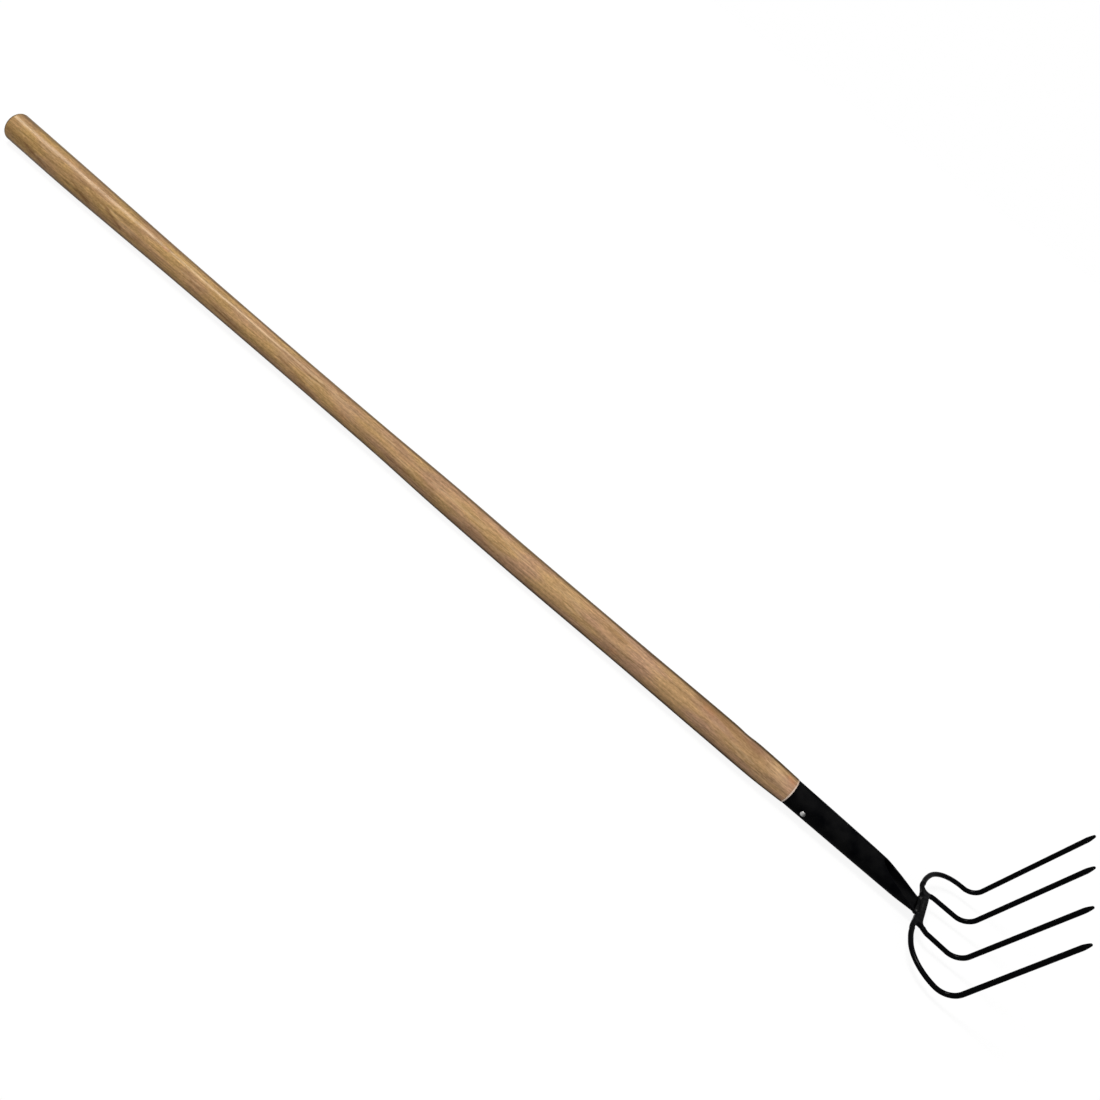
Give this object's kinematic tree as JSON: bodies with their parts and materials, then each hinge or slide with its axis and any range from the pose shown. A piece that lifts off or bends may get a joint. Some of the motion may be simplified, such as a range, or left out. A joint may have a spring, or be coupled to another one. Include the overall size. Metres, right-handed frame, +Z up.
{
  "type": "manure drag",
  "caption": "Long handled manure drag: a turned ash shaft riveted in a rolled steel socket, with a welded head of round pointed tines bent square to the shaft.",
  "frame": {"origin": "middle of the bottom of the box round the tool as it lies on its back with its tines up", "axes": "+X along the shaft from the butt to the head, +Y across the head to the left tines, +Z up, the way the tines point"},
  "size_m": [1.5199, 0.2138, 0.1652],
  "materials": {
    "ash": "satin, lightly oiled, with long streaky grain",
    "socket_paint": "satin black",
    "head_paint": "satin black",
    "weld_paint": "satin black over a rough weld",
    "rivet_steel": "bright, hammered"
  },
  "bodies": {
    "root": {"shaft": "ash", "socket": "socket_paint", "socket_rivet": "rivet_steel", "yoke": "head_paint", "neck_weld": "weld_paint", "tine_outer_left": "head_paint", "tine_inner_left": "head_paint", "tine_inner_right": "head_paint", "tine_outer_right": "head_paint", "weld_outer_left": "weld_paint", "weld_inner_left": "weld_paint", "weld_inner_right": "weld_paint", "weld_outer_right": "weld_paint"}
  },
  "joints": []
}
